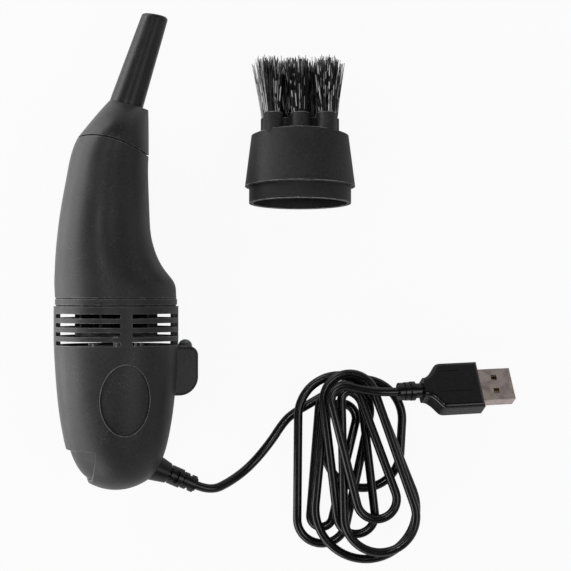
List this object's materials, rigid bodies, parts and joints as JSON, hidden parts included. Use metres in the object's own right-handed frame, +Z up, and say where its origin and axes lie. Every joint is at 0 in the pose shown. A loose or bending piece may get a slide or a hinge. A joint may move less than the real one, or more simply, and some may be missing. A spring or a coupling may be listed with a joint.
{
  "type": "mini vacuum cleaner",
  "caption": "Hand-held desktop mini vacuum cleaner with a slim nozzle, side lamp, vent collar and coiled power lead, with its oval brush head lying beside it.",
  "frame": {"origin": "bottom middle of the box round the vacuum and its brush head, on the surface they lie on, cord and plug left aside", "axes": "+Y along the barrel towards the nozzle, +X towards the lamp side, +Z up"},
  "size_m": [0.1607, 0.1913, 0.0424],
  "materials": {
    "body_plastic": "fine matt moulded black plastic",
    "brush_plastic": "satin moulded black plastic",
    "tube_rubber": "smooth soft black",
    "cord_vinyl": "glossy black",
    "plug_vinyl": "semi-gloss black",
    "bristle": "black filament",
    "plug_steel": "bright plated",
    "inner_white": "white moulded",
    "contact_gold": "bright",
    "inner_black": "moulded black",
    "switch_cap": "white moulded",
    "steel": "zinc plated",
    "bush_bronze": "sintered",
    "magnet": "dark ferrite",
    "board": "resin board",
    "resistor": "lacquered",
    "lamp_clear": "clear",
    "wire_skin": "red insulation",
    "filter_cloth": "white non-woven"
  },
  "bodies": {
    "motor_unit": {"upper_housing": "body_plastic", "lower_housing": "body_plastic", "housing_screws": "steel", "filter_frame": "inner_black", "filter_bag": "filter_cloth", "inlet_plate": "inner_black", "motor_bracket": "inner_black", "motor_screws": "steel", "motor_can": "steel", "motor_bushes": "bush_bronze", "motor_end_cap": "inner_white", "motor_terminals": "contact_gold", "motor_magnets": "magnet", "circuit_board": "board", "switch_body": "inner_black", "lamp_resistor": "resistor", "lamp_housing": "body_plastic", "led_lamp": "lamp_clear", "led_leads": "steel", "lead_wires": "wire_skin", "strain_relief": "cord_vinyl", "cord_lead": "cord_vinyl", "cord_coil": "cord_vinyl", "cord_tail": "cord_vinyl", "plug_overmold": "plug_vinyl", "plug_shell": "plug_steel", "plug_tongue": "inner_white", "plug_contacts": "contact_gold"},
    "rotor": {"impeller": "inner_black", "motor_shaft": "steel", "armature_core": "steel", "armature_windings": "contact_gold", "commutator": "contact_gold"},
    "front_duct": {"front_housing": "body_plastic"},
    "nozzle": {"nozzle_adapter": "body_plastic", "nozzle_tube": "tube_rubber"},
    "button": {"power_button": "body_plastic"},
    "plunger": {"switch_plunger": "switch_cap"},
    "brush_head": {"brush_body": "brush_plastic", "bristle_tufts": "bristle"}
  },
  "joints": [
    {"name": "impeller_spin", "type": "hinge", "parent": "motor_unit", "child": "rotor", "pos_m": [-0.03068, -0.03539, 0.02095], "axis": [0, 1, 0], "continuous": true},
    {"name": "duct_pull", "type": "slide", "parent": "motor_unit", "child": "front_duct", "axis": [0, 1, 0], "range_m": [0, 0.03]},
    {"name": "nozzle_pull", "type": "slide", "parent": "front_duct", "child": "nozzle", "axis": [0.2368, 0.9715, 0], "range_m": [0, 0.015]},
    {"name": "button_press", "type": "slide", "parent": "motor_unit", "child": "button", "axis": [0.9659, 0, -0.2588], "range_m": [0, 0.001], "stiffness_N_per_m": 400},
    {"name": "plunger_press", "type": "slide", "parent": "motor_unit", "child": "plunger", "axis": [0.9659, 0, -0.2588], "range_m": [0, 0.001]},
    {"name": "brush_lift", "type": "slide", "parent": "motor_unit", "child": "brush_head", "axis": [0, 0, 1], "range_m": [0, 0.05]}
  ],
  "couplings": [
    {"joint": "plunger_press", "follows": "button_press", "ratio": 1}
  ]
}
